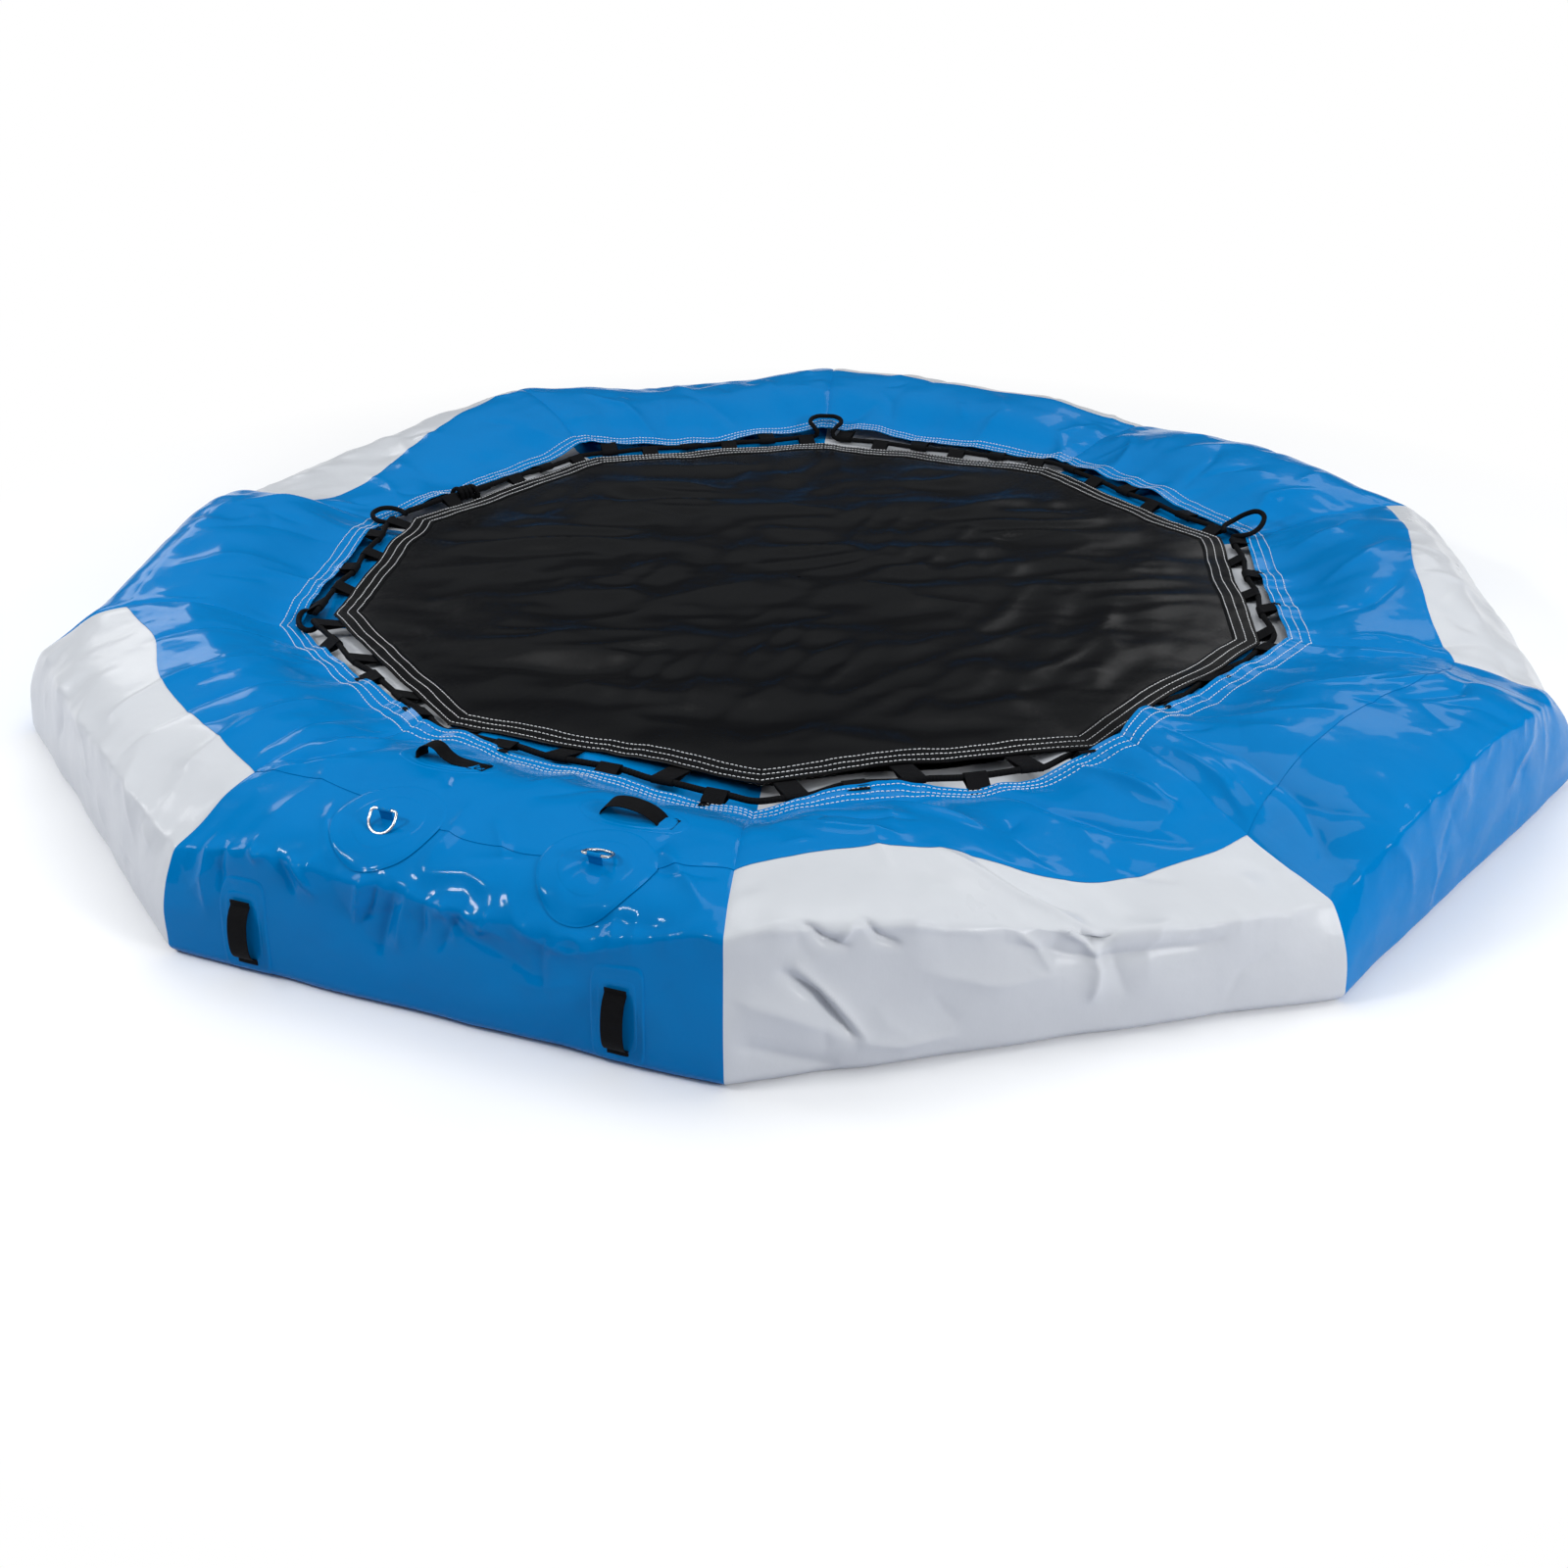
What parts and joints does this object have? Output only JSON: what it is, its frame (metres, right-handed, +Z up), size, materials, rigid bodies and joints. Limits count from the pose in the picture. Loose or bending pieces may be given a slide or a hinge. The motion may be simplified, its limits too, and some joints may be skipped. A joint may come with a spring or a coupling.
{
  "type": "water trampoline",
  "caption": "Inflated ring of blue and white segments with a black jump mat laced inside it, tow rings, webbing handles and an inflation valve.",
  "frame": {"origin": "on the ground under the middle of the jump mat", "axes": "+Z up; +X through one corner of the ring and, across from it, another; +Y square to the middle of the side that holds the valve"},
  "size_m": [3.9598, 3.7743, 0.3764],
  "materials": {
    "blue_pvc": "glossy coated cloth",
    "white_pvc": "glossy coated cloth",
    "mat_mesh": "woven, satin",
    "hem_cloth": "coated, satin",
    "webbing": "woven, matte",
    "rope": "braided, matte",
    "stainless": "polished",
    "valve_plastic": "moulded, satin"
  },
  "bodies": {
    "ring": {"tube_segment_01": "blue_pvc", "tube_segment_02": "white_pvc", "tube_segment_03": "blue_pvc", "tube_segment_04": "white_pvc", "tube_segment_05": "blue_pvc", "tube_segment_06": "white_pvc", "tube_segment_07": "blue_pvc", "tube_segment_08": "white_pvc", "tube_segment_09": "blue_pvc", "tube_segment_10": "white_pvc", "apron_panel_01": "blue_pvc", "apron_panel_02": "blue_pvc", "apron_panel_03": "blue_pvc", "apron_panel_04": "blue_pvc", "apron_panel_05": "blue_pvc", "apron_panel_06": "blue_pvc", "apron_panel_07": "blue_pvc", "apron_panel_08": "blue_pvc", "apron_panel_09": "blue_pvc", "apron_panel_10": "blue_pvc", "apron_loop_tape_01": "webbing", "apron_loop_tape_02": "webbing", "apron_loop_tape_03": "webbing", "apron_loop_tape_04": "webbing", "apron_loop_tape_05": "webbing", "apron_loop_tape_06": "webbing", "apron_loop_tape_07": "webbing", "apron_loop_tape_08": "webbing", "apron_loop_tape_09": "webbing", "apron_loop_tape_10": "webbing", "lacing_rope": "rope", "rope_knot": "rope", "ring_patch_left": "blue_pvc", "ring_patch_right": "blue_pvc", "ring_tab_left": "blue_pvc", "ring_tab_right": "blue_pvc", "top_handle_patch_left": "blue_pvc", "top_handle_patch_right": "blue_pvc", "top_handle_left": "webbing", "top_handle_right": "webbing", "side_handle_patch_left": "blue_pvc", "side_handle_patch_right": "blue_pvc", "side_handle_left": "webbing", "side_handle_right": "webbing", "valve_body": "valve_plastic", "valve_nut": "valve_plastic", "valve_spring": "stainless", "valve_hinge_pin": "stainless"},
    "mat": {"jump_mat": "mat_mesh", "mat_hem": "hem_cloth", "mat_loop_tape": "webbing"},
    "d_ring_left": {"d_ring_left": "stainless"},
    "d_ring_right": {"d_ring_right": "stainless"},
    "valve_stem": {"valve_stem": "valve_plastic"},
    "valve_cap": {"valve_cap": "valve_plastic"}
  },
  "joints": [
    {"name": "mat_bounce", "type": "slide", "parent": "ring", "child": "mat", "axis": [0, 0, 1], "range_m": [-0.2, 0.03], "stiffness_N_per_m": 4500, "springref_m": 0.014, "deforming": ["lacing_rope"]},
    {"name": "d_ring_left_swing", "type": "hinge", "parent": "ring", "child": "d_ring_left", "pos_m": [-1.14788, -1.32474, 0.35673], "axis": [-0.809, 0.5878, 0], "range_deg": [0, 246]},
    {"name": "d_ring_right_swing", "type": "hinge", "parent": "ring", "child": "d_ring_right", "pos_m": [-0.78618, -1.59247, 0.35569], "axis": [0.809, -0.5878, 0], "range_deg": [0, 246]},
    {"name": "valve_cap_hinge", "type": "hinge", "parent": "ring", "child": "valve_cap", "pos_m": [0, 1.88759, 0.157], "axis": [1, 0, 0], "range_deg": [0, 170]},
    {"name": "valve_stem_push", "type": "slide", "parent": "ring", "child": "valve_stem", "axis": [0, -1, 0], "range_m": [0, 0.005], "stiffness_N_per_m": 800, "springref_m": -0.002, "deforming": ["valve_spring"]}
  ]
}
